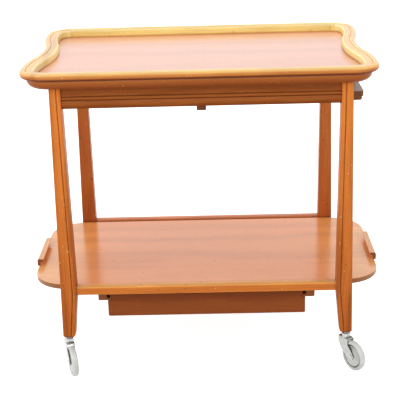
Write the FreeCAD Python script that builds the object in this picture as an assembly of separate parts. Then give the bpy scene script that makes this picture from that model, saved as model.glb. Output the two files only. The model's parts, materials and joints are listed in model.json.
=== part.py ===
import FreeCAD, Part
import math
import os

Vector = FreeCAD.Vector

# Two-tier tea trolley. X runs along its length, Y from front to back, Z up, floor at Z = 0.
# All sizes are in millimetres.

# Top: a moulded board with a raised rim, hollowed between two ears at each end
top_height = 707.0        # floor to the crown of the rim
top_length = 756.0        # over the ears
top_depth = 528.0
top_shift = -3.5          # the top sits this far to the left of the frame
ear_rise = 20.0           # how far each end hollows in between its ears
ear_setback = 79.0        # from the long edge to the widest point of an ear
hollow_radius = 430.0     # plan radius of the hollow end
ear_corner_radius = 60.0
rim_width = 31.0
rim_height = 18.5         # rim above the field that it encloses
rim_lip = 16.0            # thickness of the rim where it stands over the edge of the board
rim_tongue = 18.0         # from the edge of the rim to its deeper inner part
rim_rebate = 1.5          # the deeper part is let in this far below the field
rim_inner_round = 5.0
rim_step = 1.4            # the broad inner part of the rim lies this much below the bead
bead_width = 12.0
bead_round = 6.4          # outer roundings of the bead
bead_inner_bevel = 1.2
quirk_width = 1.8
quirk_depth = 2.6
rim_seam = 331.0          # half length of the straight rim pieces
top_board_thick = 18.0    # under the field
top_board_inset = 6.0     # edge of the board behind the edge of the rim
top_end_inset = 7.0       # how much more it stands back at the ends
top_board_ovolo = 18.0
top_board_arris = 1.6

# Legs
leg_span_x = 640.0        # over the legs, level with the bottom of the aprons
leg_span_y = 460.0
leg_splay = 0.016         # outward lean of the outer faces, per unit of drop
leg_width = 25.0          # width seen from the front, level with the bottom of the aprons
leg_lean = 3.5            # how much nearer the middle the inner faces stand at the shelf
leg_depth = 33.0
foot_width = 27.0
foot_depth = 28.0
foot_bevel = 6.0
leg_arris = 1.6
leg_bead = 9.5            # rounded bead along the inner edge of the outward face
leg_bead_round = 3.4
leg_quirk = 2.6           # width and depth of the groove beside the bead
leg_quirk_depth = 2.2

# Aprons and end rails under the top
apron_height = 47.7
apron_thick = 20.0
end_rail_thick = 18.0
apron_setback = 6.0       # behind the outward faces of the legs
apron_plain = 21.0        # plain band above the bead
apron_bead = 8.4
apron_bead_proud = 1.6
apron_quirk = 0.9         # half width of the fine grooves beside the bead
apron_quirk_depth = 1.8
apron_toe = 2.5           # how far the lower band curls under
tenon_length = 14.0
tenon_shoulder = 6.0      # shoulder all round a tenon of an apron
tenon_gap = 1.0           # the tenons of the end rails stop this far short of those of the aprons
shelf_tenon_shoulder = 4.0
joint_play = 0.1          # play of a tenon in its mortise
block_leg = 38.0          # corner blocks under the top
block_height = 23.0

# Leaf that pulls out to the right, its runners and the bearer under it
leaf_end = 348.0          # outer end of the closed leaf from the middle
leaf_tail = 20.0          # inner end past the middle
leaf_depth = 360.0
leaf_thick = 11.5
leaf_travel = 238.0
leaf_corner_radius = 8.0
leaf_play = 0.3
leaf_lift = 2.3           # leaf above the lower edge of the aprons
batten_width = 21.0
batten_thick = 7.8
batten_setback = 3.0
batten_arris = 2.4
runner_lip = 6.0          # thickness of the lips above and below the leaf
runner_hold = 10.0        # how far the lips reach over the leaf
runner_wall = 14.0        # how far the closed inner end of a runner lies past the leaf
bearer_width = 20.0
bearer_height = 9.0
bearer_setback = 2.0
stop_width = 20.0
stop_length = 120.0
stop_height = 18.0

# Shelf rails and the loose tray board that rests between them
shelf_level = 206.4       # floor to the top of the tray board
tray_length = 794.0
tray_thick = 12.5
tray_corner_radius = 82.0
tray_arris = 1.0
tray_side_play = 0.5      # between the tray board and each leg
tray_rest = 0.3
shelf_rail_rise = 4.0     # top of the rails above the tray
shelf_rail_drop = 2.4     # foot of the rails below the runners' tops
shelf_rail_thick = 21.0
shelf_rail_setback = 7.0
shelf_rail_round = 4.5
handle_length = 137.0
handle_shift = -18.5      # middle of the handles from the middle of the tray
handle_height = 17.0
handle_width = 14.3
handle_overhang = 3.5     # outside of a grip past the end of the tray
handle_foot = 7.0         # from the outside of a grip to the inner side of its foot
handle_fall = 0.8         # the top of a grip falls this much towards its lip
handle_lip = 5.0          # height of the rounded lip
handle_lip_round = 3.0

# Drawer hung under the tray
drawer_width = 446.0
drawer_bottom = 135.4     # floor to the lower edge of the drawer front
drawer_front_thick = 14.0
drawer_side_thick = 10.0
drawer_notch = 5.8        # the front is notched round the feet of the runners
drawer_lip = 3.6          # the front reaches this much below the sides
drawer_base_thick = 4.0
drawer_base_rise = 4.0    # base above the lower edge of the sides
drawer_groove = 5.0
drawer_play = 1.0
drawer_back_gap = 22.0    # from the back ends of the runners to the drawer
drawer_corner_round = 4.0
guide_gap = 2.0           # between the drawer front and the web of a runner
guide_web = 19.0          # width of the runners, which are notched under the shelf rails
guide_foot = 4.5
guide_height = 16.3
guide_setback = 5.0       # behind the face of the shelf rail
guide_round = 3.0
cleat_height = 9.5

# Casters
wheel_radius = 34.5
tyre_width = 13.5
tyre_shoulder = 3.2
tyre_bevel = 1.5          # along the inner edges of the tyre
rim_radius = 27.0
rim_drop = 2.2            # the seat of the tyre lies this much inside the sides of the disc
disc_radius = 25.5
disc_inset = 1.2          # edge of the disc inside the side of the tyre
disc_dish = 1.6           # the disc swells this much from its edge to its hub
hub_radius = 7.0
hub_bevel = 1.5
hub_play = 0.2
axle_radius = 3.0
axle_head_radius = 5.0
axle_head = 1.4
axle_head_bevel = 1.0
trail = 28.0              # swivel axis to axle
fork_gap = 16.0
fork_sheet = 1.6
fork_crown = 31.0         # length of the crown along the wheel
wheel_gap = 1.9           # between the tyre and the crown of the fork
fork_skirt = 14.0         # straight upper part of the arms
fork_belly = 6.0          # how far the back edge of an arm is bowed out
fork_tip_radius = 8.0
fork_bend = 1.4
fit = 0.05                # radial clearance of turning fits
boss_radius = 10.0
boss_height = 11.3
boss_bevel = 2.0
stem_radius = 4.0
stem_length = 30.0
stem_outset = 2.4         # swivel axis outward of the middle of the foot
socket_radius = 5.5
socket_length = 34.0
socket_flange_radius = 9.0
socket_flange = 1.5
swivel_gap = 0.3
swivel_angles = {         # way each wheel trails at rest, in degrees from +X
    "front_left": -71.0,
    "front_right": -57.0,
    "back_left": 109.0,
    "back_right": 123.0,
}

# Levels and planes that follow from the sizes above
field_level = top_height - rim_height
rim_seat = field_level - rim_rebate
lip_level = top_height - rim_lip
frame_top = field_level - top_board_thick
apron_low = frame_top - apron_height
leg_front = leg_span_y / 2
leg_inner_y = leg_front - leg_depth
leg_inner_x = leg_span_x / 2 - leg_width
shelf_inner_x = leg_inner_x - leg_lean
apron_face = leg_front - apron_setback
apron_back = apron_face - apron_thick
rail_face = leg_front - shelf_rail_setback
rail_inner = rail_face - shelf_rail_thick
rail_top = shelf_level + shelf_rail_rise
tray_bed = shelf_level - tray_thick - tray_rest
rail_low = tray_bed - shelf_rail_drop
fork_height = 2 * wheel_radius + wheel_gap + fork_sheet
boss_top = fork_height + boss_height
foot_height = boss_top + swivel_gap + socket_flange
foot_outer_x = leg_span_x / 2 + leg_splay * (apron_low - foot_height)
foot_inner_x = foot_outer_x - foot_width
foot_inner_y = leg_front - foot_depth
stem_x = (foot_outer_x + foot_inner_x) / 2 + stem_outset
stem_y = (leg_front + foot_inner_y) / 2
leaf_low = apron_low + leaf_lift
leaf_top = leaf_low + leaf_thick
runner_top = leaf_top + leaf_play + runner_lip
end_rail_face = leg_span_x / 2 - apron_setback
end_rail_back = end_rail_face - end_rail_thick


def box(x0, x1, y0, y1, z0, z1):
    return Part.makeBox(x1 - x0, y1 - y0, z1 - z0, Vector(x0, y0, z0))


def prism(points, sweep):
    """Solid swept from a closed outline of points."""
    return Part.Face(Part.makePolygon(points + points[:1])).extrude(sweep)


def face_from(edges):
    return Part.Face(Part.Wire(Part.__sortEdges__(edges)))


def line(a, b):
    return Part.LineSegment(a, b).toShape()


def arc(a, through, b):
    return Part.Arc(a, through, b).toShape()


def turn_arc(centre, radius, start, end):
    """Arc about a centre from one direction to another, less than half a turn."""
    middle = (start + end).normalize()
    return arc(centre + start * radius, centre + middle * radius, centre + end * radius)


def mirror_x(shape):
    return shape.mirror(Vector(0, 0, 0), Vector(1, 0, 0))


def mirror_y(shape):
    return shape.mirror(Vector(0, 0, 0), Vector(0, 1, 0))


def at_corner(shape, side_x, side_y):
    """Copy of a piece made for the right front corner, set at another corner."""
    if side_x < 0:
        shape = mirror_x(shape)
    if side_y > 0:
        shape = mirror_y(shape)
    return shape


def level_edges(shape, level):
    """Edges that lie flat at one height."""
    box_of = [(edge, edge.BoundBox) for edge in shape.Edges]
    return [e for e, b in box_of if abs(b.ZMin - level) < 0.01 and abs(b.ZMax - level) < 0.01]


# ---------------------------------------------------------------- top

def top_outline(inset, end_inset=0.0):
    """Plan of the top: straight long edges, an ear at each corner, a hollow at each end."""
    half_length = top_length / 2 - end_inset
    half_depth = top_depth / 2
    station = half_depth - ear_setback
    swing = (ear_rise ** 2 + station ** 2) / (2 * ear_rise)
    ear_radius = swing - hollow_radius
    hollow = Vector(half_length - ear_rise + hollow_radius, 0, 0)
    ear = Vector(half_length - ear_radius, station, 0)
    corner_y = half_depth - ear_corner_radius
    reach = math.sqrt((ear_radius - ear_corner_radius) ** 2 - (corner_y - station) ** 2)
    corner = Vector(ear.x + reach, corner_y, 0)
    to_ear = (ear - hollow).normalize()
    to_corner = (corner - ear).normalize()
    quarter = [
        turn_arc(ear, ear_radius - inset, to_ear * -1, to_corner),
        turn_arc(corner, ear_corner_radius - inset, to_corner, Vector(0, 1, 0)),
    ]
    half = quarter + [mirror_y(edge) for edge in quarter]
    half.append(arc(hollow + Vector(to_ear.x, -to_ear.y, 0) * (hollow_radius + inset),
                    hollow - Vector(hollow_radius + inset, 0, 0),
                    hollow + to_ear * (hollow_radius + inset)))
    edges = half + [mirror_x(edge) for edge in half]
    for y in (half_depth - inset, inset - half_depth):
        edges.append(line(Vector(-corner.x, y, 0), Vector(corner.x, y, 0)))
    outline = face_from(edges)
    outline.translate(Vector(top_shift, 0, 0))
    return outline


def top_slab(inset, low, high, end_inset=0.0):
    slab = top_outline(inset, end_inset).extrude(Vector(0, 0, high - low))
    slab.translate(Vector(0, 0, low))
    return slab


def edges_along(shape, inset, level):
    """Edges that follow the outline of the top at one inset and one level."""
    outline = top_outline(inset).OuterWire
    outline.translate(Vector(0, 0, level))
    found = []
    for edge in level_edges(shape, level):
        middle = edge.valueAt((edge.FirstParameter + edge.LastParameter) / 2)
        if outline.distToShape(Part.Vertex(middle))[0] < 0.01:
            found.append(edge)
    return found


def make_rims():
    """The rim is four pieces: two straight ones and two end pieces that carry the ears."""
    rim = top_slab(0, lip_level, top_height)
    rim = rim.makeFillet(bead_round, level_edges(rim, lip_level) + level_edges(rim, top_height))
    rim = rim.fuse(top_slab(rim_tongue, rim_seat, top_height - bead_round)).removeSplitter()
    inner_part = bead_width + quirk_width
    broad_level = top_height - rim_step
    rim = rim.cut(top_slab(bead_width, broad_level, top_height + rim_step))
    quirk = top_slab(bead_width, broad_level - quirk_depth, top_height)
    rim = rim.cut(quirk.cut(top_slab(inner_part, broad_level - quirk_depth, top_height)))
    rim = rim.cut(top_slab(rim_width, rim_seat - rim_rebate, top_height))
    rim = rim.makeChamfer(bead_inner_bevel, edges_along(rim, bead_width, top_height))
    rim = rim.makeFillet(rim_inner_round, edges_along(rim, rim_width, broad_level))
    far = top_length
    front = box(-rim_seam, rim_seam, -far, ear_setback - top_depth / 2, 0, 2 * top_height)
    back = mirror_y(front)
    ends = rim.cut(front).cut(back)
    return {
        "rim_front": rim.common(front),
        "rim_back": rim.common(back),
        "rim_left": ends.common(box(-far, 0, -far, far, 0, 2 * top_height)),
        "rim_right": ends.common(box(0, far, -far, far, 0, 2 * top_height)),
    }


def make_top_board():
    """The board carries the field; round the field it is sunk to take the rim."""
    board = top_slab(top_board_inset, frame_top, lip_level, top_end_inset)
    board = board.makeFillet(top_board_ovolo, level_edges(board, frame_top))
    board = board.makeChamfer(top_board_arris, level_edges(board, lip_level))
    board = board.cut(top_slab(rim_tongue - joint_play, rim_seat, lip_level + rim_rebate))
    return board.fuse(top_slab(rim_width + joint_play, rim_seat, field_level))


# ---------------------------------------------------------------- legs

def leg_outer_x(level):
    return leg_span_x / 2 + leg_splay * (apron_low - level)


def leg_section(level, inner_x, inner_y):
    """Outline of the right front leg at one level, with the bead and its groove."""
    outer_x = leg_outer_x(level)
    a = leg_arris
    bead = leg_bead - leg_quirk / 2
    low = leg_bead_round * 0.3

    def point(x, y):
        return Vector(x, y - leg_front, level)

    front = [point(outer_x - a, 0), point(inner_x + leg_bead + leg_quirk / 2, 0),
             point(inner_x + leg_bead, leg_quirk_depth), point(inner_x + bead, low)]
    back = leg_front - inner_y
    return Part.Wire([
        line(front[0], front[1]), line(front[1], front[2]), line(front[2], front[3]),
        arc(front[3], point(inner_x + bead * 0.55, 0), point(inner_x + low * 1.3, low * 1.3)),
        arc(point(inner_x + low * 1.3, low * 1.3), point(inner_x + low * 0.3, low * 2.4),
            point(inner_x, leg_bead_round)),
        line(point(inner_x, leg_bead_round), point(inner_x, back - a)),
        line(point(inner_x, back - a), point(inner_x + a, back)),
        line(point(inner_x + a, back), point(outer_x - a, back)),
        line(point(outer_x - a, back), point(outer_x, back - a)),
        line(point(outer_x, back - a), point(outer_x, a)),
        line(point(outer_x, a), front[0]),
    ])


def make_leg():
    """Right front leg: it swells a little down to the shelf, then tapers to the foot."""
    sections = [
        leg_section(frame_top, leg_inner_x, leg_inner_y),
        leg_section(apron_low, leg_inner_x, leg_inner_y),
        leg_section(rail_top, shelf_inner_x, leg_inner_y),
        leg_section(rail_low, shelf_inner_x, leg_inner_y),
        leg_section(foot_height, foot_inner_x, foot_inner_y),
    ]
    leg = Part.makeLoft(sections, True, True)
    for cutter in foot_bevels():
        leg = leg.cut(cutter)
    return leg


def foot_bevels():
    """Wedges that bevel the four sides of the foot."""
    reach = foot_width
    sides = [(Vector(1, 0, 0), foot_outer_x), (Vector(-1, 0, 0), -foot_inner_x),
             (Vector(0, -1, 0), leg_front), (Vector(0, 1, 0), -foot_inner_y)]
    cutters = []
    for outward, face in sides:
        along = Vector(0, 0, 1).cross(outward)
        start = along * -(2 * leg_span_x)
        base = outward * (face - foot_bevel)
        corners = [base + Vector(0, 0, foot_height),
                   base + outward * reach + Vector(0, 0, foot_height + reach),
                   base + outward * reach + Vector(0, 0, foot_height - 1),
                   base + Vector(0, 0, foot_height - 1)]
        cutters.append(prism([c + start for c in corners], along * (4 * leg_span_x)))
    return cutters


def make_legs():
    leg = make_leg()
    leg = leg.cut(Part.makeCylinder(socket_radius + fit, socket_length + fit,
                                    Vector(stem_x, -stem_y, foot_height)))
    legs = {}
    for name, side_x, side_y in corners():
        post = at_corner(leg, side_x, side_y)
        for mortise in mortises():
            post = post.cut(mortise)
        legs["leg_" + name] = post
    return legs


def corners():
    return [("front_left", -1, -1), ("front_right", 1, -1),
            ("back_left", -1, 1), ("back_right", 1, 1)]


# ---------------------------------------------------------------- aprons and rails

def tenon_bars(play):
    """Bars that hold the tenons of every rail: each runs through the rail into both legs."""
    s = tenon_shoulder
    t = shelf_tenon_shoulder
    reach_x = leg_inner_x + tenon_length + play
    reach_shelf = shelf_inner_x + tenon_length + play
    reach_y = apron_back + s - tenon_gap + play
    bars = {}
    for name, sign in (("front", -1), ("back", 1)):
        y0, y1 = sorted((sign * (apron_face - s), sign * (apron_back + s)))
        bars["apron_" + name] = box(-reach_x, reach_x, y0 - play, y1 + play,
                                    apron_low + s - play, frame_top - 2 * s + play)
        y0, y1 = sorted((sign * (rail_face - t), sign * (rail_inner + t)))
        bars["shelf_rail_" + name] = box(-reach_shelf, reach_shelf, y0 - play, y1 + play,
                                         rail_low + t - play, rail_top - t + play)
    for name, sign in (("left", -1), ("right", 1)):
        low = apron_low if sign < 0 else runner_top
        x0, x1 = sorted((sign * (end_rail_face - s), sign * (end_rail_back + s)))
        bars["end_rail_" + name] = box(x0 - play, x1 + play, -reach_y, reach_y,
                                       low + s - play, frame_top - s + play)
    return bars


def mortises():
    return list(tenon_bars(joint_play).values())


def apron_section(thick):
    """Moulded section in the YZ plane, its face at Y = 0 towards the front."""
    upper = frame_top - apron_plain
    lower = upper - apron_bead
    q = apron_quirk
    points = [
        Vector(0, 0, upper + q), Vector(0, apron_quirk_depth, upper), Vector(0, 0, upper - q),
        Vector(0, 0, lower + q), Vector(0, apron_quirk_depth, lower), Vector(0, 0, lower - q),
    ]
    toe = Vector(0, apron_toe, apron_low)
    back_low = Vector(0, thick, apron_low)
    back_top = Vector(0, thick, frame_top)
    front_top = Vector(0, 0, frame_top)
    bead_middle = Vector(0, -apron_bead_proud, (upper + lower) / 2)
    band_middle = Vector(0, -apron_bead_proud, (lower + apron_low) / 2)
    return face_from([
        line(front_top, points[0]), line(points[0], points[1]), line(points[1], points[2]),
        arc(points[2], bead_middle, points[3]),
        line(points[3], points[4]), line(points[4], points[5]),
        arc(points[5], band_middle, toe),
        line(toe, back_low), line(back_low, back_top), line(back_top, front_top),
    ])


def make_aprons():
    long_apron = apron_section(apron_thick).extrude(Vector(2 * leg_inner_x, 0, 0))
    long_apron.translate(Vector(-leg_inner_x, -apron_face, 0))
    front = long_apron.fuse(tenon_bars(0)["apron_front"]).removeSplitter()
    back = mirror_y(long_apron).fuse(tenon_bars(0)["apron_back"]).removeSplitter()
    end = apron_section(end_rail_thick).extrude(Vector(2 * leg_inner_y, 0, 0))
    end.translate(Vector(-leg_inner_y, -end_rail_face, 0))
    end.rotate(Vector(0, 0, 0), Vector(0, 0, 1), -90)
    left = end.fuse(tenon_bars(0)["end_rail_left"]).removeSplitter()
    right = box(end_rail_back, end_rail_face, -leg_inner_y, leg_inner_y, runner_top, frame_top)
    right = right.fuse(tenon_bars(0)["end_rail_right"]).removeSplitter()
    return {"apron_front": front, "apron_back": back, "end_rail_left": left, "end_rail_right": right}


def make_corner_blocks():
    """Glue blocks in the four corners under the top, each against a leg and both its rails."""
    low = frame_top - block_height
    plan = [Vector(leg_inner_x, -apron_back, low),
            Vector(end_rail_back - block_leg, -apron_back, low),
            Vector(end_rail_back, block_leg - apron_back, low),
            Vector(end_rail_back, -leg_inner_y, low),
            Vector(leg_inner_x, -leg_inner_y, low)]
    block = prism(plan, Vector(0, 0, block_height))
    blocks = [at_corner(block, side_x, side_y) for _, side_x, side_y in corners()]
    return {"corner_blocks": Part.makeCompound(blocks)}


def make_shelf_rails():
    rail = box(-shelf_inner_x, shelf_inner_x, -rail_face, -rail_inner, rail_low, rail_top)
    long_tops = [e for e in level_edges(rail, rail_top) if e.Length > shelf_inner_x]
    rail = rail.makeFillet(shelf_rail_round, long_tops)
    rails = {}
    for name, shape in (("front", rail), ("back", mirror_y(rail))):
        node = "shelf_rail_" + name
        rails[node] = shape.fuse(tenon_bars(0)[node]).removeSplitter()
    return rails


# ---------------------------------------------------------------- leaf

def make_bearer():
    """Bearer under the aprons, raised between them to carry the leaf."""
    half = bearer_width / 2
    reach = apron_face - bearer_setback
    low = apron_low - bearer_height
    bearer = box(-half, half, -reach, reach, low, apron_low)
    middle = box(-half, half, -apron_back, apron_back, low, leaf_low - leaf_play)
    return {"leaf_bearer": bearer.fuse(middle).removeSplitter()}


def make_leaf_runners():
    """Grooved runners behind the aprons; the groove is closed at its inner end."""
    start = -leaf_tail - runner_wall
    lip_edge = leaf_depth / 2 - runner_hold
    runner = box(start, leg_inner_x - joint_play, lip_edge, apron_back,
                 leaf_low - leaf_play - runner_lip, runner_top)
    groove = box(-leaf_tail - leaf_play, leg_inner_x, 0, leaf_depth / 2 + leaf_play,
                 leaf_low - leaf_play, leaf_top + leaf_play)
    half = bearer_width / 2 + leaf_play
    notch = box(-half, half, 0, apron_face, 0, leaf_low - leaf_play)
    runner = runner.cut(groove).cut(notch)
    return {"leaf_runner_back": runner, "leaf_runner_front": mirror_y(runner)}


def batten_span():
    outer = leaf_end - batten_setback
    return outer - batten_width, outer


def make_leaf():
    half = leaf_depth / 2
    board = box(-leaf_tail, leaf_end, -half, half, leaf_low, leaf_top)
    outer_corners = [e for e in board.Edges
                     if abs(e.CenterOfMass.x - leaf_end) < 0.01 and abs(e.tangentAt(0).z) > 0.9]
    board = board.makeFillet(leaf_corner_radius, outer_corners)
    inner, outer = batten_span()
    batten = box(inner, outer, -half, half, leaf_low - batten_thick, leaf_low)
    low_edges = [e for e in level_edges(batten, leaf_low - batten_thick)
                 if e.Length > batten_width + 1]
    batten = batten.makeFillet(batten_arris, low_edges)
    trim = box(-leaf_tail, outer, -half, half, 0, frame_top)
    ends = [e for e in trim.Edges
            if abs(e.CenterOfMass.x - outer) < 0.01 and abs(e.tangentAt(0).z) > 0.9]
    batten = batten.common(trim.makeFillet(leaf_corner_radius, ends))
    stop_right = end_rail_back - leaf_travel - leaf_play
    stop = box(stop_right - stop_width, stop_right, -stop_length / 2, stop_length / 2,
               leaf_top, leaf_top + stop_height)
    return {"leaf_board": board, "leaf_end_batten": batten, "leaf_stop": stop}


# ---------------------------------------------------------------- tray

def make_tray_board():
    half_x = tray_length / 2
    half_y = leg_inner_y - tray_side_play
    board = box(-half_x, half_x, -half_y, half_y, shelf_level - tray_thick, shelf_level)
    upright = [e for e in board.Edges if abs(e.tangentAt(0).z) > 0.9]
    board = board.makeFillet(tray_corner_radius, upright)
    arrises = level_edges(board, shelf_level) + level_edges(board, shelf_level - tray_thick)
    return board.makeChamfer(tray_arris, arrises)


def make_handles():
    """Curled grips along the ends of the tray: a narrow foot and a lip that turns inward."""
    face = tray_length / 2 + handle_overhang
    y = handle_shift - handle_length / 2

    def point(inward, height):
        return Vector(face - inward, y, shelf_level + height)

    crown = handle_height - handle_fall
    tip = handle_height - handle_lip
    over = handle_lip
    nose = handle_width - handle_lip_round
    section = face_from([
        line(point(0, 0), point(0, handle_height - over)),
        arc(point(0, handle_height - over),
            point(over * 0.3, handle_height - over * 0.3),
            point(over, handle_height)),
        line(point(over, handle_height), point(nose, crown)),
        arc(point(nose, crown), point(handle_width, (crown + tip) / 2),
            point(nose + handle_lip_round / 3, tip)),
        arc(point(nose + handle_lip_round / 3, tip),
            point(handle_foot + handle_lip_round / 3, handle_height * 0.45),
            point(handle_foot, 0)),
        line(point(handle_foot, 0), point(0, 0)),
    ])
    right = section.extrude(Vector(0, handle_length, 0))
    return {"tray_handle_right": right, "tray_handle_left": mirror_x(right)}


# ---------------------------------------------------------------- drawer and its runners

def drawer_side_face():
    return drawer_width / 2 - drawer_notch


def guide_span():
    """Inner and outer planes of the web of a drawer runner."""
    inner = drawer_width / 2 + guide_gap
    return inner, inner + guide_web


def guide_reach():
    return rail_face - guide_setback


def make_drawer_guides():
    inner, outer = guide_span()
    low = rail_low - guide_height
    reach = guide_reach()
    web = box(inner, outer, -reach, reach, low, rail_low)
    bed = box(inner, outer, -rail_inner, rail_inner, rail_low, tray_bed)
    foot = box(drawer_side_face() + drawer_play, inner, -reach, reach, low, low + guide_foot)
    guide = web.fuse(bed).fuse(foot).removeSplitter()
    outer_low = [e for e in level_edges(guide, low)
                 if e.Length > outer and abs(e.CenterOfMass.x - outer) < 0.01]
    guide = guide.makeFillet(guide_round, outer_low)
    return {"drawer_runner_right": guide, "drawer_runner_left": mirror_x(guide)}


def make_drawer():
    half = drawer_width / 2
    side = drawer_side_face()
    reach = guide_reach()
    front_y = -reach
    box_front = front_y + drawer_front_thick
    box_back = reach - drawer_back_gap
    foot_low = rail_low - guide_height
    cleat_low = foot_low + guide_foot + tray_rest
    box_top = cleat_low + cleat_height
    box_low = drawer_bottom + drawer_lip
    front = box(-half, half, front_y, box_front, drawer_bottom, box_top + drawer_play)
    low_corners = [e for e in level_edges(front, drawer_bottom)
                   if abs(abs(e.CenterOfMass.x) - half) < 0.01]
    front = front.makeFillet(drawer_corner_round, low_corners)
    for x0, x1 in ((-half - 1, -side), (side, half + 1)):
        front = front.cut(box(x0, x1, front_y - 1, box_front + 1, foot_low - drawer_play,
                              rail_low))
    inner = side - drawer_side_thick
    base_low = box_low + drawer_base_rise
    base_high = base_low + drawer_base_thick
    play = joint_play
    groove = box(-inner - drawer_groove - play, inner + drawer_groove + play,
                 box_front - drawer_groove - play, box_back, base_low - play, base_high + play)
    right = box(inner, side, box_front, box_back, box_low, box_top).cut(groove)
    back = box(-inner, inner, box_back - drawer_side_thick, box_back, base_high + play, box_top)
    base = box(-inner - drawer_groove, inner + drawer_groove, box_front - drawer_groove,
               box_back - drawer_play, base_low, base_high)
    cleat = box(side, guide_span()[0] - drawer_play, box_front + drawer_play, box_back,
                cleat_low, box_top)
    return {
        "drawer_front": front.cut(groove),
        "drawer_back": back,
        "drawer_base": base,
        "drawer_side_right": right,
        "drawer_side_left": mirror_x(right),
        "drawer_cleat_right": cleat,
        "drawer_cleat_left": mirror_x(cleat),
    }


# ---------------------------------------------------------------- casters

def fork_plan():
    """Outline of one arm in the XZ plane: X is the way the wheel trails."""
    half = fork_crown / 2
    axle = Vector(trail, 0, wheel_radius)
    skirt = fork_height - fork_skirt
    heel = Vector(-half, 0, skirt)
    shin = Vector(half, 0, skirt)
    slant = (axle - (heel + shin) / 2).normalize()
    square = Vector(-slant.z, 0, slant.x)
    under = axle - square * fork_tip_radius
    nose = axle + slant * fork_tip_radius
    over = axle + square * fork_tip_radius
    crown_back = Vector(-half, 0, fork_height)
    crown_front = Vector(half, 0, fork_height)
    belly = (heel + under) / 2 - square * fork_belly
    return [line(crown_back, heel), arc(heel, belly, under), arc(under, nose, over),
            line(over, shin), line(shin, crown_front), line(crown_front, crown_back)]


def make_fork():
    outer = fork_gap / 2 + fork_sheet
    half = fork_crown / 2
    arm = face_from(fork_plan()).extrude(Vector(0, fork_sheet, 0))
    arm.translate(Vector(0, fork_gap / 2, 0))
    arm = arm.cut(Part.makeCylinder(axle_radius + fit, 4 * outer,
                                    Vector(trail, -2 * outer, wheel_radius), Vector(0, 1, 0)))
    crown = box(-half, half, -outer, outer, fork_height - fork_sheet, fork_height)
    fork = crown.fuse(arm).fuse(mirror_y(arm)).removeSplitter()
    bends = [e for e in level_edges(fork, fork_height) if abs(abs(e.CenterOfMass.y) - outer) < 0.01]
    fork = fork.makeFillet(fork_bend, bends)
    boss = Part.makeCylinder(boss_radius, boss_top - fork_height, Vector(0, 0, fork_height))
    boss = boss.makeChamfer(boss_bevel, level_edges(boss, boss_top))
    stem = Part.makeCylinder(stem_radius, stem_length, Vector(0, 0, boss_top))
    return fork.fuse(boss).fuse(stem).removeSplitter()


def spun(points):
    """Solid of revolution about the axle from (radius, across) points of its section."""
    section = [Vector(trail + r, across, wheel_radius) for r, across in points]
    face = Part.Face(Part.makePolygon(section + section[:1]))
    return face.revolve(Vector(trail, 0, wheel_radius), Vector(0, 1, 0), 360)


def both_sides(side):
    """Closed section from the points of its +Y side."""
    return spun(side + [(radius, -across) for radius, across in reversed(side)])


def make_axle():
    outer = fork_gap / 2 + fork_sheet
    return both_sides([(0, outer + axle_head), (axle_head_radius - axle_head_bevel, outer + axle_head),
                       (axle_head_radius, outer), (axle_radius, outer)])


def make_disc():
    """Pressed steel wheel: a hub, dished sides and a lower seat for the tyre."""
    hub = fork_gap / 2 - hub_play
    edge = tyre_width / 2 - disc_inset
    return both_sides([(axle_radius + fit, hub), (hub_radius, hub),
                       (hub_radius + hub_bevel, edge + disc_dish), (disc_radius, edge),
                       (rim_radius, edge - rim_drop)])


def make_tyre():
    half = tyre_width / 2
    bore = rim_radius + fit
    return both_sides([(bore, half - tyre_bevel), (bore + tyre_bevel, half),
                       (wheel_radius - tyre_shoulder, half), (wheel_radius, half - tyre_shoulder)])


def make_socket():
    tube = Part.makeCylinder(socket_radius, socket_length, Vector(0, 0, foot_height))
    flange = Part.makeCylinder(socket_flange_radius, socket_flange,
                               Vector(0, 0, foot_height - socket_flange))
    bore = Part.makeCylinder(stem_radius + fit, socket_length,
                             Vector(0, 0, foot_height - socket_flange))
    return tube.fuse(flange).removeSplitter().cut(bore)


def make_casters():
    made = {"caster_socket_": make_socket(), "caster_fork_": make_fork(),
            "caster_axle_": make_axle(), "wheel_disc_": make_disc(), "tyre_": make_tyre()}
    nodes = {}
    for name, side_x, side_y in corners():
        for prefix, shape in made.items():
            piece = shape.copy()
            piece.rotate(Vector(0, 0, 0), Vector(0, 0, 1), swivel_angles[name])
            piece.translate(Vector(side_x * stem_x, side_y * stem_y, 0))
            nodes[prefix + name] = piece
    return nodes


def main():
    nodes = {}
    nodes.update(make_rims())
    nodes["top_board"] = make_top_board()
    nodes.update(make_legs())
    nodes.update(make_aprons())
    nodes.update(make_corner_blocks())
    nodes.update(make_shelf_rails())
    nodes.update(make_bearer())
    nodes.update(make_leaf_runners())
    nodes.update(make_leaf())
    nodes["tray_board"] = make_tray_board()
    nodes.update(make_handles())
    nodes.update(make_drawer_guides())
    nodes.update(make_drawer())
    nodes.update(make_casters())
    os.makedirs("parts", exist_ok=True)
    for name, shape in sorted(nodes.items()):
        shape.exportStep("parts/" + name + ".step")
        print(name, len(shape.Solids), round(shape.Volume), shape.isValid())
    print(len(nodes), "nodes")


main()
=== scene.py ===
import bpy
import bmesh
import json
import math
from mathutils import Matrix, Vector


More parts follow.
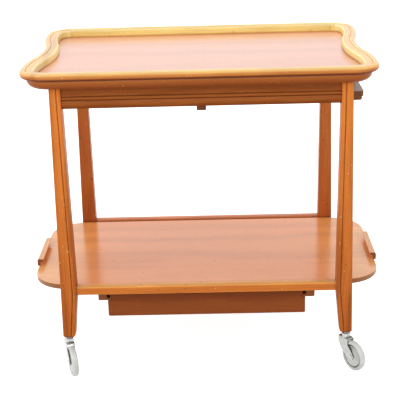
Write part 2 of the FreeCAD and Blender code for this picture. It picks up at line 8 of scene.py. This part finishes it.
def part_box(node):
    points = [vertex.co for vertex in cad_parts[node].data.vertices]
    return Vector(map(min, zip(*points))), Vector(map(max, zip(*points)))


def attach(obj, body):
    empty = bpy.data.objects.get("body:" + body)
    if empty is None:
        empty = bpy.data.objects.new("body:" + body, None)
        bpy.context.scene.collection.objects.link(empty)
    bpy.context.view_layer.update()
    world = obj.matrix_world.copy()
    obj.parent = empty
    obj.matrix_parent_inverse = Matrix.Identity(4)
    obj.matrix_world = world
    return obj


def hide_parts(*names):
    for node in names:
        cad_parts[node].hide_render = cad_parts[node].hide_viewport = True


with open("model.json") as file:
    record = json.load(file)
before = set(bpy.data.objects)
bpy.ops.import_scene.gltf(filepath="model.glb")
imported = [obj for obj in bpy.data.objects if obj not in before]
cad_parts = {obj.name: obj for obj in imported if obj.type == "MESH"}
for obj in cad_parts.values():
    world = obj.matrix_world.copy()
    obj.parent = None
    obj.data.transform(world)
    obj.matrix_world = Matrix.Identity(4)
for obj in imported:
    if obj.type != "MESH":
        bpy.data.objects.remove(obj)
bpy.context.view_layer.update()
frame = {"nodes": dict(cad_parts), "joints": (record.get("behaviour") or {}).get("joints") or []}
cadNodes = frame["nodes"]
joints = {joint["name"]: joint for joint in frame["joints"]}
fourCorners = ("front_left", "front_right", "back_left", "back_right")
print("frame loaded,", len(cadNodes), "pieces")

# The camera comes first because everything is judged through it
cameraSetup = {
    "place": (0.03279, -2.3296, 1.1709),
    "turn": -1.113,      # degrees to the right of +Y
    "down": 19.79,       # degrees below level
    "roll": -1.593,
    "lens": 92.6,        # on a 36 mm sensor
}


def setCamera(setup):
    turn, down, roll = (math.radians(setup[key]) for key in ("turn", "down", "roll"))
    ahead = Vector((math.sin(turn) * math.cos(down), math.cos(turn) * math.cos(down), -math.sin(down)))
    side = Vector((math.cos(turn), -math.sin(turn), 0))
    up = side.cross(ahead)
    right = side * math.cos(roll) + up * math.sin(roll)
    top = up * math.cos(roll) - side * math.sin(roll)
    data = bpy.data.cameras.new("camera")
    data.lens = setup["lens"]
    data.sensor_width = 36
    camera = bpy.data.objects.new("camera", data)
    x, y, z = setup["place"]
    camera.matrix_world = Matrix((
        (right.x, top.x, -ahead.x, x),
        (right.y, top.y, -ahead.y, y),
        (right.z, top.z, -ahead.z, z),
        (0, 0, 0, 1)))
    bpy.context.scene.collection.objects.link(camera)
    bpy.context.scene.camera = camera


setCamera(cameraSetup)
print("camera set")


# Colours are written as they look on screen, 0 to 255
def screenTone(red, green, blue):
    def linear(value):
        share = value / 255
        return share / 12.92 if share <= 0.04045 else ((share + 0.055) / 1.055) ** 2.4
    return (linear(red), linear(green), linear(blue), 1)


class Shade:
    # a material with short ways to add and wire its nodes
    def __init__(self, name):
        self.material = bpy.data.materials.new(name)
        self.material.use_nodes = True
        self.tree = self.material.node_tree
        self.skin = self.tree.nodes["Principled BSDF"]
        self.place = self.add("ShaderNodeTexCoord").outputs["Object"]
        self.facing = self.add("ShaderNodeNewGeometry").outputs["Normal"]

    def add(self, kind, **settings):
        made = self.tree.nodes.new(kind)
        for key, value in settings.items():
            setattr(made, key, value)
        return made

    def feed(self, socket, value):
        if hasattr(value, "is_output"):
            self.tree.links.new(value, socket)
        else:
            socket.default_value = value

    def moved(self, vector, scale=(1, 1, 1), turn=(0, 0, 0), shift=(0, 0, 0)):
        made = self.add("ShaderNodeMapping")
        made.inputs["Scale"].default_value = scale
        made.inputs["Rotation"].default_value = turn
        made.inputs["Location"].default_value = shift
        self.feed(made.inputs["Vector"], vector)
        return made.outputs["Vector"]

    def noise(self, vector, scale=1.0, detail=2.0, rough=0.5, distortion=0.0):
        made = self.add("ShaderNodeTexNoise")
        self.feed(made.inputs["Vector"], vector)
        made.inputs["Scale"].default_value = scale
        made.inputs["Detail"].default_value = detail
        made.inputs["Roughness"].default_value = rough
        made.inputs["Distortion"].default_value = distortion
        return made.outputs["Fac"]

    def sum(self, first, second, operation="ADD", clamp=False):
        made = self.add("ShaderNodeMath", operation=operation, use_clamp=clamp)
        self.feed(made.inputs[0], first)
        self.feed(made.inputs[1], second)
        return made.outputs[0]

    def times(self, first, second):
        return self.sum(first, second, "MULTIPLY")

    def spread(self, value, low, high, newLow=0.0, newHigh=1.0):
        made = self.add("ShaderNodeMapRange")
        made.inputs["From Min"].default_value = low
        made.inputs["From Max"].default_value = high
        made.inputs["To Min"].default_value = newLow
        made.inputs["To Max"].default_value = newHigh
        self.feed(made.inputs["Value"], value)
        return made.outputs["Result"]

    def axis(self, vector, name):
        made = self.add("ShaderNodeSeparateXYZ")
        self.feed(made.inputs["Vector"], vector)
        return made.outputs[name]

    def ramp(self, value, stops):
        made = self.add("ShaderNodeValToRGB")
        band = made.color_ramp
        while len(band.elements) < len(stops):
            band.elements.new(0.5)
        for element, (place, tone) in zip(band.elements, stops):
            element.position = place
            element.color = tone
        self.feed(made.inputs["Fac"], value)
        return made.outputs["Color"]

    def mix(self, share, first, second, blend="MIX"):
        made = self.add("ShaderNodeMix", data_type="RGBA", blend_type=blend)
        self.feed(made.inputs[0], share)
        self.feed(made.inputs[6], first)
        self.feed(made.inputs[7], second)
        return made.outputs[2]

    def rounded(self, radius):
        soft = self.add("ShaderNodeBevel", samples=4)
        soft.inputs["Radius"].default_value = radius
        return soft.outputs["Normal"]

    def edgeWear(self, radius):
        # near 1 on edges, 0 on flats
        dot = self.add("ShaderNodeVectorMath", operation="DOT_PRODUCT")
        self.feed(dot.inputs[0], self.rounded(radius))
        self.feed(dot.inputs[1], self.facing)
        return self.spread(dot.outputs["Value"], 0.99, 0.86)

    def crevice(self, depth):
        # near 1 in grooves and along joints, 0 on open faces
        shaded = self.add("ShaderNodeAmbientOcclusion", samples=6)
        shaded.inputs["Distance"].default_value = depth
        return self.spread(shaded.outputs["AO"], 0.85, 0.35)

    def inward(self):
        # 1 on sides that look towards the middle of the trolley
        dot = self.add("ShaderNodeVectorMath", operation="DOT_PRODUCT")
        self.feed(dot.inputs[0], self.facing)
        self.feed(dot.inputs[1], self.moved(self.place, scale=(1, 1, 0)))
        return self.spread(dot.outputs["Value"], -0.03, -0.12)

    def bump(self, height, strength, distance, normal=None):
        made = self.add("ShaderNodeBump")
        made.inputs["Strength"].default_value = strength
        made.inputs["Distance"].default_value = distance
        self.feed(made.inputs["Height"], height)
        if normal is not None:
            self.feed(made.inputs["Normal"], normal)
        self.feed(self.skin.inputs["Normal"], made.outputs["Normal"])


grainTurn = {"x": (0, 0, 0), "y": (0, 0, -math.pi / 2), "z": (0, math.pi / 2, 0)}

def grainStop(depth):
    # darker wood is also redder
    return (1 - depth, 1 - 1.3 * depth, 1 - 1.45 * depth, 1)


# What every lacquered piece starts from; each piece below changes what differs
woodLook = {
    "along": "x",                          # the way the grain runs
    "shift": (0.3, 0.02, 0),               # moves the figure, so that no two pieces match
    "tone": screenTone(210, 120, 40),
    "contrast": 0.16,                      # how far the grain goes from the tone
    "figure": 0.35,                        # share of the broad figure in the grain
    "heart": (0, 0.11, -0.3),
    "rings": 8,
    "sway": 0.012,
    "streaks": 90,
    "pores": 0.3,
    "under": grainStop(0.3),               # painted shade: multiplies the tone on sides that look down
    "creviceDirtAndShading": (0.5, 0.38, 0.3, 1),        # and this one in grooves and along joints, for dirt and painted shade
    "creviceDepth": 0.004,
    "worn": screenTone(240, 190, 120),
    "wear": 0.35,
    "specks": 0.5,
    "rough": 0.34,
    "shine": 0.3,
    "coat": 0.0,
    "coatGrade": 1.5,
    "coatRough": 0.12,
    "relief": 0.3,
    "rounding": 0.0007,
}


def makeWood(name, **changes):
    look = dict(woodLook)
    look.update(changes)
    shade = Shade(name)
    skin = shade.skin
    along = shade.moved(shade.place, turn=grainTurn[look["along"]], shift=look["shift"])
    swayed = shade.sum(shade.noise(shade.moved(along, scale=(2.2, 7, 7)), detail=2), -0.5)
    bent = shade.add("ShaderNodeVectorMath", operation="MULTIPLY_ADD")
    shade.feed(bent.inputs[0], swayed)
    bent.inputs[1].default_value = (0, look["sway"], look["sway"])
    shade.feed(bent.inputs[2], along)
    bent = bent.outputs[0]
    # broad figure, narrow streaks, patchy stain, then fibres and open pores
    figure = shade.add("ShaderNodeTexWave", wave_type="RINGS", rings_direction="X")
    shade.feed(figure.inputs["Vector"], shade.moved(bent, scale=(0.35, 1, 1), shift=look["heart"]))
    figure.inputs["Scale"].default_value = look["rings"]
    figure.inputs["Distortion"].default_value = 3.0
    figure.inputs["Detail"].default_value = 2.0
    figure.inputs["Detail Scale"].default_value = 1.4
    narrow = shade.moved(bent, scale=(1.7, look["streaks"], look["streaks"]))
    streak = shade.noise(narrow, detail=5, rough=0.62)
    patch = shade.noise(shade.moved(along, scale=(3.5, 9, 9)), detail=2)
    fibre = shade.noise(shade.moved(bent, scale=(13, 560, 560)), detail=2)
    pore = shade.noise(shade.moved(bent, scale=(52, 1300, 1300)), detail=1, rough=0.4)
    pore = shade.spread(pore, 0.62, 0.72)
    share = shade.sum(shade.times(figure.outputs["Fac"], look["figure"]),
                      shade.times(streak, 0.8 - look["figure"]))
    share = shade.spread(shade.sum(share, shade.times(patch, 0.2)), 0.27, 0.73)
    depth = look["contrast"]
    upright = shade.axis(shade.facing, "Z")
    ground = look["tone"]
    # painted light and shade: the tone follows which way a side faces
    if "paintedLightByFacing" in look:
        ground = shade.ramp(shade.spread(upright, -1, 1), look["paintedLightByFacing"])
    # painted light: sides that look inwards get their own lighter tone
    if "inner" in look:
        ground = shade.mix(shade.inward(), ground, look["inner"])
    grain = shade.ramp(share, [(0.0, grainStop(depth)), (0.5, (1, 1, 1, 1)), (1.0, grainStop(-0.4 * depth))])
    tone = shade.mix(1.0, ground, grain, "MULTIPLY")
    fine = shade.ramp(fibre, [(0.3, grainStop(0.8 * depth)), (0.7, grainStop(-0.2 * depth))])
    tone = shade.mix(0.8, tone, fine, "MULTIPLY")
    tone = shade.mix(shade.times(pore, look["pores"]), tone, grainStop(0.5), "MULTIPLY")
    # painted shade on sides that look down
    tone = shade.mix(shade.spread(upright, 0.1, -0.8), tone, look["under"], "MULTIPLY")
    # grooves and joints: dirt, and painted shade
    tone = shade.mix(shade.crevice(look["creviceDepth"]), tone, look["creviceDirtAndShading"], "MULTIPLY")
    # end faces darker: end grain, and painted shade
    if "endGrainAndShade" in look:
        ends = shade.sum(shade.axis(shade.facing, "Y"), 0.0, "ABSOLUTE")
        tone = shade.mix(shade.spread(ends, 0.8, 0.95), tone, look["endGrainAndShade"], "MULTIPLY")
    # painted shade: a darker tone that grows from one height to another
    if "foot" in look:
        low, high, footTone = look["foot"]
        heightShadeMask = shade.spread(shade.axis(shade.place, "Z"), high, low)
        tone = shade.mix(heightShadeMask, tone, footTone, "MULTIPLY")
    if "paintedLightAtEnds" in look:
        # painted light: lighter towards the ends, out from under the top's shadow
        near, far, endLightTone = look["paintedLightAtEnds"]
        reach = shade.sum(shade.axis(shade.place, "X"), 0.0, "ABSOLUTE")
        tone = shade.mix(shade.spread(reach, near, far), tone, endLightTone, "MULTIPLY")
    # rubbed edges, small bruises and pale nicks
    rub = shade.spread(shade.noise(shade.place, scale=24, detail=3), 0.42, 0.62)
    tone = shade.mix(shade.times(shade.times(shade.edgeWear(0.0012), rub), look["wear"]), tone, look["worn"])
    bruise = shade.noise(shade.moved(shade.place, shift=look["shift"]), scale=120, detail=1)
    bruise = shade.spread(bruise, 0.735, 0.76)
    tone = shade.mix(shade.times(bruise, look["specks"]), tone, grainStop(0.55), "MULTIPLY")
    nick = shade.noise(shade.moved(shade.place, shift=look["heart"]), scale=160, detail=1)
    nick = shade.spread(nick, 0.745, 0.765)
    tone = shade.mix(shade.times(nick, look["specks"]), tone, look["worn"])
    shade.feed(skin.inputs["Base Color"], tone)
    gloss = shade.sum(shade.spread(patch, 0.3, 0.7, look["rough"] - 0.05, look["rough"] + 0.06),
                      shade.times(pore, 0.12))
    shade.feed(skin.inputs["Roughness"], gloss)
    # the lacquer is thin on sides that look down
    shine = look["shine"]
    shade.feed(skin.inputs["Specular IOR Level"], shade.spread(upright, -0.2, 0.4, 0.2 * shine, shine))
    if look["coat"]:
        shade.feed(skin.inputs["Coat Weight"], shade.spread(upright, -0.1, 0.5, 0.0, look["coat"]))
    skin.inputs["Coat IOR"].default_value = look["coatGrade"]
    skin.inputs["Coat Roughness"].default_value = look["coatRough"]
    height = shade.sum(shade.times(fibre, 0.5), shade.times(pore, -0.8))
    height = shade.sum(height, shade.times(streak, 0.6))
    shade.bump(height, look["relief"], 0.00025, shade.rounded(look["rounding"]))
    return shade.material


def paint(material, *names):
    for name in names:
        for slot in cadNodes[name].material_slots:
            slot.material = material


weldReach = 0.000005      # joins the doubled points along seams, and moves nothing


def smoothNode(name, angle=32):
    piece = cadNodes[name]
    weld = piece.modifiers.new("weld", "WELD")
    weld.merge_threshold = weldReach
    split = piece.modifiers.new("split", "EDGE_SPLIT")
    split.split_angle = math.radians(angle)
    for face in piece.data.polygons:
        face.use_smooth = True


for name in cadNodes:
    smoothNode(name)

# Upper tray: a pale rim round a warm, glossy field
rimLook = {
    # painted light and shade: pale where the rim faces up, brown where it faces down
    "paintedLightByFacing": [(0.0, screenTone(128, 68, 32)), (0.28, screenTone(150, 82, 38)),
                 (0.5, screenTone(214, 134, 64)), (0.68, screenTone(248, 186, 100)),
                 (0.9, screenTone(249, 208, 122))],
    # painted light on the inner walls
    "inner": screenTone(255, 231, 143),
    # painted shade at the foot of the rim
    "foot": (0.6888, 0.6935, (0.58, 0.38, 0.25, 1)),
    # the grooves lightened: painted light against their shadow
    "creviceDirtAndShading": (1.25, 1.05, 0.85, 1),
    "contrast": 0.2,
    "worn": screenTone(255, 232, 180),
    "wear": 0.6,
    "coat": 0.6,
}
fieldLook = {
    "shift": (0.1, 0.6, 0),
    # painted light: the top face far lighter than the edges, as a sheen
    "paintedLightByFacing": [(0.2, screenTone(168, 92, 42)), (0.6, screenTone(188, 108, 46)),
                 (0.9, screenTone(240, 172, 144))],
    "contrast": 0.08,
    "heart": (0.1, -0.35, -0.12),
    "rings": 6,
    "streaks": 60,
    "coat": 1.0,
    "coatGrade": 1.6,
    "coatRough": 0.2,
    "relief": 0.12,
}
paint(makeWood("paleRimLong", **rimLook), "rim_front", "rim_back")
# the ends carry their own painted light
rimEndLook = dict(rimLook, along="y", shift=(0.7, 0.31, 0), inner=screenTone(255, 234, 158))
rimEndLook["paintedLightByFacing"] = rimLook["paintedLightByFacing"][:-1] + [(0.9, screenTone(249, 196, 118))]
paint(makeWood("paleRimEnd", **rimEndLook), "rim_left", "rim_right")
paint(makeWood("warmField", **fieldLook), "top_board")
print("upper tray done")

# Legs, aprons and rails
legLook = {
    "along": "z",
    "shift": (0.2, 0.03, 0.4),
    "heart": (0, 0.14, -0.22),
    "tone": screenTone(228, 134, 58),
    "contrast": 0.26,
    "streaks": 70,
    # painted shade, darker towards the floor
    "foot": (0.10, 0.62, (0.66, 0.55, 0.5, 1)),
    # painted shade along joints, reaching further
    "creviceDirtAndShading": (0.38, 0.2, 0.1, 1),
    "creviceDepth": 0.009,
    "shine": 0.15,
    "specks": 0.8,
}
backLegLook = dict(legLook, tone=screenTone(214, 124, 62), shift=(0.5, 0.3, 0.1))
apronLook = {
    "shift": (0.15, 0.2, 0.1),
    "tone": screenTone(168, 94, 40),
    "contrast": 0.3,
    "worn": screenTone(206, 140, 80),
    "shine": 0.15,
}
railLook = {
    "shift": (0.5, 0.04, 0.12),
    # painted light: the top lighter than the front
    "paintedLightByFacing": [(0.3, screenTone(170, 90, 36)), (0.55, screenTone(236, 138, 46)),
                 (0.8, screenTone(255, 180, 84))],
    "worn": screenTone(255, 190, 114),
    "wear": 0.7,
    "contrast": 0.22,
    "creviceDirtAndShading": (0.85, 0.7, 0.58, 1),
    "specks": 1.0,
    "coat": 0.5,
}
backRailLook = dict(railLook, worn=screenTone(220, 140, 90), wear=0.4)
# painted light, darker than on the front rail
backRailLook["paintedLightByFacing"] = [(0.4, screenTone(196, 106, 54)), (0.8, screenTone(236, 142, 84))]
paint(makeWood("legWood", **legLook), "leg_front_left", "leg_front_right")
paint(makeWood("backLegWood", **backLegLook), "leg_back_left", "leg_back_right")
paint(makeWood("apronWood", **apronLook), "apron_front", "apron_back", "corner_blocks")
paint(makeWood("endRailWood", **dict(apronLook, along="y")), "end_rail_left", "end_rail_right")
paint(makeWood("railWood", **railLook), "shelf_rail_front")
paint(makeWood("backRailWood", **backRailLook), "shelf_rail_back")
paint(makeWood("bearerWood", **dict(apronLook, along="y", tone=screenTone(120, 66, 34))), "leaf_bearer")
print("frame wood done")

# Leaf, lower tray and drawer
leafLook = {
    "shift": (0.8, 0.1, 0.2),
    # painted light: the leaf's top lighter than its edges
    "paintedLightByFacing": [(0.3, screenTone(110, 72, 44)), (0.6, screenTone(126, 82, 50)),
                 (0.9, screenTone(158, 110, 84))],
    "contrast": 0.14,
    "coat": 0.35,
}
trayLook = {
    "shift": (0.0, 0.25, 0.3),
    "heart": (0.2, -0.08, -0.16),
    # painted light: the tray's top far lighter than its edges
    "paintedLightByFacing": [(0.3, screenTone(150, 82, 44)), (0.6, screenTone(156, 88, 44)),
                 (0.9, screenTone(252, 154, 80))],
    # painted light: lighter towards the ends, out from under the top's shadow
    "paintedLightAtEnds": (0.25, 0.36, (1.02, 1.42, 1.9, 1)),
    "contrast": 0.12,
    "rings": 6,
    "streaks": 60,
    "coat": 1.0,
    "coatGrade": 1.6,
    "coatRough": 0.17,
    "relief": 0.12,
}
gripLook = {
    "along": "y",
    "shift": (0.1, 0.9, 0.2),
    # painted light: the grips lighter where they face up
    "paintedLightByFacing": [(0.25, screenTone(240, 164, 114)), (0.5, screenTone(252, 186, 132)),
                 (0.85, screenTone(255, 198, 152))],
    # end faces darker: end grain, and painted shade
    "endGrainAndShade": (0.3, 0.2, 0.14, 1),
    "under": (0.95, 0.92, 0.9, 1),
    "creviceDirtAndShading": (0.9, 0.85, 0.8, 1),
    "contrast": 0.14,
}
drawerLook = {
    "shift": (0.4, 0.7, 0.5),
    "tone": screenTone(142, 72, 30),
    "foot": (0.189, 0.165, (0.76, 0.7, 0.62, 1)),   # in the shadow of the rail
    "contrast": 0.18,
    "specks": 0.1,
    "shine": 0.2,
}
bareLook = {
    "along": "y",
    "shift": (0.9, 0.1, 0.3),
    "tone": screenTone(140, 80, 42),
    "creviceDirtAndShading": (0.85, 0.75, 0.68, 1),
    "rough": 0.6,
    "shine": 0.2,
    "specks": 0.1,
}
paint(makeWood("leafWood", **leafLook), "leaf_board")
paint(makeWood("leafBattenWood", **dict(leafLook, along="y", coat=0.1)), "leaf_end_batten", "leaf_stop")
paint(makeWood("trayWood", **trayLook), "tray_board")
paint(makeWood("gripWood", **gripLook), "tray_handle_left", "tray_handle_right")
paint(makeWood("drawerFrontWood", **drawerLook), "drawer_front")
paint(makeWood("drawerBoxWood", **bareLook), "drawer_side_left", "drawer_side_right",
      "drawer_cleat_left", "drawer_cleat_right")
paint(makeWood("drawerAcrossWood", **dict(bareLook, along="x")), "drawer_back", "drawer_base")
paint(makeWood("runnerWood", **bareLook), "drawer_runner_left", "drawer_runner_right")
paint(makeWood("leafRunnerWood", **dict(bareLook, along="x")), "leaf_runner_front", "leaf_runner_back")
print("leaf, tray and drawer done")

# Metal and rubber of the casters
metalLook = {
    "tone": screenTone(192, 194, 192),
    "stain": screenTone(136, 136, 130),
    "creviceDirtAndShading": (0.2, 0.2, 0.19, 1),
    "creviceDepth": 0.007,
    "rough": 0.2,
    "grime": 0.4,
}
tyreLook = {
    "tone": screenTone(224, 226, 222),
    "grey": screenTone(176, 176, 170),
    "creviceDirtAndShading": (0.35, 0.35, 0.34, 1),
    "rough": 0.55,
}


def makeMetal(name, look):
    shade = Shade(name)
    skin = shade.skin
    cloud = shade.noise(shade.place, scale=60, detail=4, rough=0.6)
    speck = shade.spread(shade.noise(shade.place, scale=700, detail=2), 0.64, 0.7)
    scratch = shade.noise(shade.moved(shade.place, scale=(60, 60, 1400)), detail=2)
    dull = shade.spread(cloud, 0.5, 0.75, 0.0, look["grime"])
    tone = shade.mix(shade.sum(dull, shade.times(speck, 0.4), clamp=True), look["tone"], look["stain"])
    tone = shade.mix(shade.crevice(look["creviceDepth"]), tone, look["creviceDirtAndShading"], "MULTIPLY")
    shade.feed(skin.inputs["Base Color"], tone)
    skin.inputs["Metallic"].default_value = 0.85
    gloss = shade.sum(shade.spread(cloud, 0.35, 0.7, look["rough"], look["rough"] + 0.16),
                      shade.spread(scratch, 0.6, 0.8, 0.0, 0.1))
    shade.feed(skin.inputs["Roughness"], gloss)
    shade.bump(shade.sum(cloud, scratch), 0.12, 0.0001, shade.rounded(0.0006))
    return shade.material


def makeRubber(name, look):
    shade = Shade(name)
    skin = shade.skin
    cloud = shade.noise(shade.place, scale=45, detail=4, rough=0.65)
    grit = shade.noise(shade.place, scale=900, detail=2)
    tone = shade.mix(shade.spread(cloud, 0.4, 0.75, 0.0, 0.6), look["tone"], look["grey"])
    tone = shade.mix(shade.spread(grit, 0.6, 0.75, 0.0, 0.3), tone, look["grey"])
    tone = shade.mix(shade.crevice(0.003), tone, look["creviceDirtAndShading"], "MULTIPLY")
    shade.feed(skin.inputs["Base Color"], tone)
    gloss = shade.spread(cloud, 0.3, 0.7, look["rough"] - 0.08, look["rough"] + 0.12)
    shade.feed(skin.inputs["Roughness"], gloss)
    skin.inputs["Specular IOR Level"].default_value = 0.25
    shade.bump(shade.sum(grit, shade.times(cloud, 0.8)), 0.3, 0.0002)
    return shade.material


brightMetal = makeMetal("brightMetal", metalLook)
discLook = dict(metalLook, tone=screenTone(182, 184, 179), rough=0.3, creviceDepth=0.004)
dullLook = dict(metalLook, tone=screenTone(176, 174, 168), rough=0.34, grime=0.6)
discMetal = makeMetal("discMetal", discLook)
dullMetal = makeMetal("dullMetal", dullLook)
rubber = makeRubber("greyRubber", tyreLook)

# Pressed wheels and their tyres, drawn finer than the solids they stand for.
# Sections are (radius, distance from the middle), mirrored to the other side.
wheelSetup = {
    "steps": 96,
    "split": 40,         # edges sharper than this many degrees stay crisp
    "disc": [(3.05, 7.8), (6.3, 7.8), (6.9, 7.5), (7.3, 7.0), (8.6, 6.9), (9.4, 6.6), (14, 6.3), (21.6, 5.9),
             (22.2, 6.2), (23.6, 6.2), (24.4, 5.8), (25.0, 4.6), (25.8, 3.6), (27.0, 3.3)],
    "tyre": [(27.05, 5.3), (27.5, 6.2), (28.2, 6.7), (29.0, 6.7), (29.3, 6.45), (29.6, 6.7), (30.8, 6.75),
             (32.2, 6.4), (33.3, 5.6), (34.1, 4.4), (34.45, 2.8), (34.5, 1.2)],
}


def spinSection(name, side, joint, steps):
    axle = Vector(joint["axis"]).normalized()
    ahead = Vector((0, 0, 1)).cross(axle).normalized()
    lift = axle.cross(ahead)
    section = side + [(radius, -across) for radius, across in reversed(side)]
    mesh = bmesh.new()
    turns = []
    for step in range(steps):
        angle = 2 * math.pi * step / steps
        out = ahead * math.cos(angle) + lift * math.sin(angle)
        turns.append([mesh.verts.new(Vector(joint["pos_m"]) + (out * radius + axle * across) / 1000)
                      for radius, across in section])
    for step, ring in enumerate(turns):
        after = turns[(step + 1) % steps]
        for point in range(len(section)):
            other = (point + 1) % len(section)
            face = mesh.faces.new((ring[point], ring[other], after[other], after[point]))
            face.smooth = True
    bmesh.ops.recalc_face_normals(mesh, faces=mesh.faces)
    data = bpy.data.meshes.new(name)
    mesh.to_mesh(data)
    mesh.free()
    made = bpy.data.objects.new(name, data)
    bpy.context.scene.collection.objects.link(made)
    split = made.modifiers.new("split", "EDGE_SPLIT")
    split.split_angle = math.radians(wheelSetup["split"])
    return made


for corner in fourCorners:
    paint(brightMetal, "caster_fork_" + corner, "caster_axle_" + corner)
    paint(dullMetal, "caster_socket_" + corner)
    joint = joints["wheel_spin_" + corner]
    for part, node, slotName, material in (("disc", "wheel_disc_", "disc_steel", discMetal),
                                           ("tyre", "tyre_", "grey_tyre", rubber)):
        made = spinSection(part + "_" + corner, wheelSetup[part], joint, wheelSetup["steps"])
        made.data.materials.append(material)
        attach(made, "wheel_" + corner)
        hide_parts(node + corner)
print("casters done")

# Slotted screws, driven up from below
screwSetup = {"radius": 0.0034, "flat": 0.0027, "proud": 0.0006, "slot": 0.0005, "steps": 14}


def underside(node, x, y):
    # where a screw at x, y meets the piece from below
    found, place, normal, face = cadNodes[node].ray_cast(Vector((x, y, -1)), Vector((0, 0, 1)))
    return place


def makeScrews(name, body, places, turn):
    setup = screwSetup
    mesh = bmesh.new()
    for count, place in enumerate(places):
        spun = turn + 1.1 * count
        for side in (0, math.pi):
            first = math.acos(setup["slot"] / setup["radius"])
            rim, top = [], []
            for step in range(setup["steps"] + 1):
                angle = first * (2 * step / setup["steps"] - 1)
                for ring, radius, drop in ((rim, setup["radius"], 0), (top, setup["flat"], setup["proud"])):
                    x = max(radius * math.cos(angle), setup["slot"])
                    y = radius * math.sin(angle)
                    out = Vector((x, y, 0))
                    out.rotate(Matrix.Rotation(spun + side, 3, "Z"))
                    ring.append(mesh.verts.new(place + out - Vector((0, 0, drop))))
            for step in range(setup["steps"]):
                mesh.faces.new((rim[step], rim[step + 1], top[step + 1], top[step]))
            mesh.faces.new((rim[-1], rim[0], top[0], top[-1]))
            mesh.faces.new(top)
    bmesh.ops.recalc_face_normals(mesh, faces=mesh.faces)
    data = bpy.data.meshes.new(name)
    mesh.to_mesh(data)
    mesh.free()
    data.materials.append(dullMetal)
    made = bpy.data.objects.new(name, data)
    bpy.context.scene.collection.objects.link(made)
    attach(made, body)


def middle(node, axis):
    low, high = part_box(node)
    return (low[axis] + high[axis]) / 2


def inFrom(node, axis, inset):
    # both ends of a piece, each a little way in
    low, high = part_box(node)
    return low[axis] + inset, high[axis] - inset


frameScrews = [underside("leaf_bearer", middle("leaf_bearer", 0), y) for y in inFrom("leaf_bearer", 1, 0.02)]
for node in ("drawer_runner_left", "drawer_runner_right"):
    frameScrews += [underside(node, middle(node, 0), y) for y in inFrom(node, 1, 0.009)]
makeScrews("frame_screws", "frame", frameScrews, 0.4)
makeScrews("leaf_screws", "leaf", [underside("leaf_end_batten", middle("leaf_end_batten", 0), y)
                                   for y in inFrom("leaf_end_batten", 1, 0.04)], 0.9)
print("screws done")

# Floor, world and lamps
stageSetup = {
    "reach": 40,             # half the side of the floor, in metres
    "floor": (0.86, 0.86, 0.86, 1),
    "floorGlow": 0.78,       # only what the camera and mirrors see
    "world": 0.85,
    "lamps": [
        {"name": "overhead", "place": (-0.3, 0.5, 2.6), "aim": (0, 0, 0.5), "size": (2.4, 1.8), "power": 12},
        {"name": "front", "place": (-1.6, -2.6, 1.9), "aim": (0, 0, 0.4), "size": (1.8, 1.8), "power": 14},
        {"name": "left", "place": (-2.6, -0.4, 1.3), "aim": (-0.3, 0, 0.25), "size": (1.4, 1.4), "power": 9},
        {"name": "side", "place": (2.4, -1.2, 1.4), "aim": (0, 0, 0.4), "size": (1.4, 1.8), "power": 7},
    ],
}


def seenRays(tree):
    # 1 for rays from the camera and for reflected or refracted ones
    path = tree.nodes.new("ShaderNodeLightPath")
    total = path.outputs["Is Camera Ray"]
    for kind in ("Is Glossy Ray", "Is Transmission Ray"):
        both = tree.nodes.new("ShaderNodeMath")
        both.operation = "MAXIMUM"
        tree.links.new(total, both.inputs[0])
        tree.links.new(path.outputs[kind], both.inputs[1])
        total = both.outputs[0]
    return total


def setStage(setup):
    mesh = bpy.data.meshes.new("floor")
    reach = setup["reach"]
    mesh.from_pydata([(-reach, -reach, 0), (reach, -reach, 0), (reach, reach, 0), (-reach, reach, 0)],
                     [], [(0, 1, 2, 3)])
    floor = bpy.data.objects.new("floor", mesh)
    bpy.context.scene.collection.objects.link(floor)
    shade = Shade("floorPaint")
    shade.skin.inputs["Base Color"].default_value = setup["floor"]
    shade.skin.inputs["Roughness"].default_value = 0.9
    shade.skin.inputs["Specular IOR Level"].default_value = 0.0
    shade.skin.inputs["Emission Color"].default_value = (1, 1, 1, 1)
    shade.feed(shade.skin.inputs["Emission Strength"], shade.times(seenRays(shade.tree), setup["floorGlow"]))
    mesh.materials.append(shade.material)
    world = bpy.data.worlds.new("studio")
    world.use_nodes = True
    bpy.context.scene.world = world
    tree = world.node_tree
    back = tree.nodes["Background"]
    back.inputs["Color"].default_value = (1, 1, 1, 1)
    level = tree.nodes.new("ShaderNodeMapRange")
    level.inputs["To Min"].default_value = setup["world"]
    level.inputs["To Max"].default_value = 1.0
    tree.links.new(seenRays(tree), level.inputs["Value"])
    tree.links.new(level.outputs["Result"], back.inputs["Strength"])
    for lamp in setup["lamps"]:
        data = bpy.data.lights.new(lamp["name"], "AREA")
        data.shape = "RECTANGLE"
        data.size, data.size_y = lamp["size"]
        data.energy = lamp["power"]
        light = bpy.data.objects.new(lamp["name"], data)
        light.location = lamp["place"]
        aim = Vector(lamp["aim"]) - Vector(lamp["place"])
        light.rotation_euler = aim.to_track_quat("-Z", "Y").to_euler()
        bpy.context.scene.collection.objects.link(light)


setStage(stageSetup)
bpy.context.scene.view_settings.view_transform = "Standard"
print("stage and lamps set")
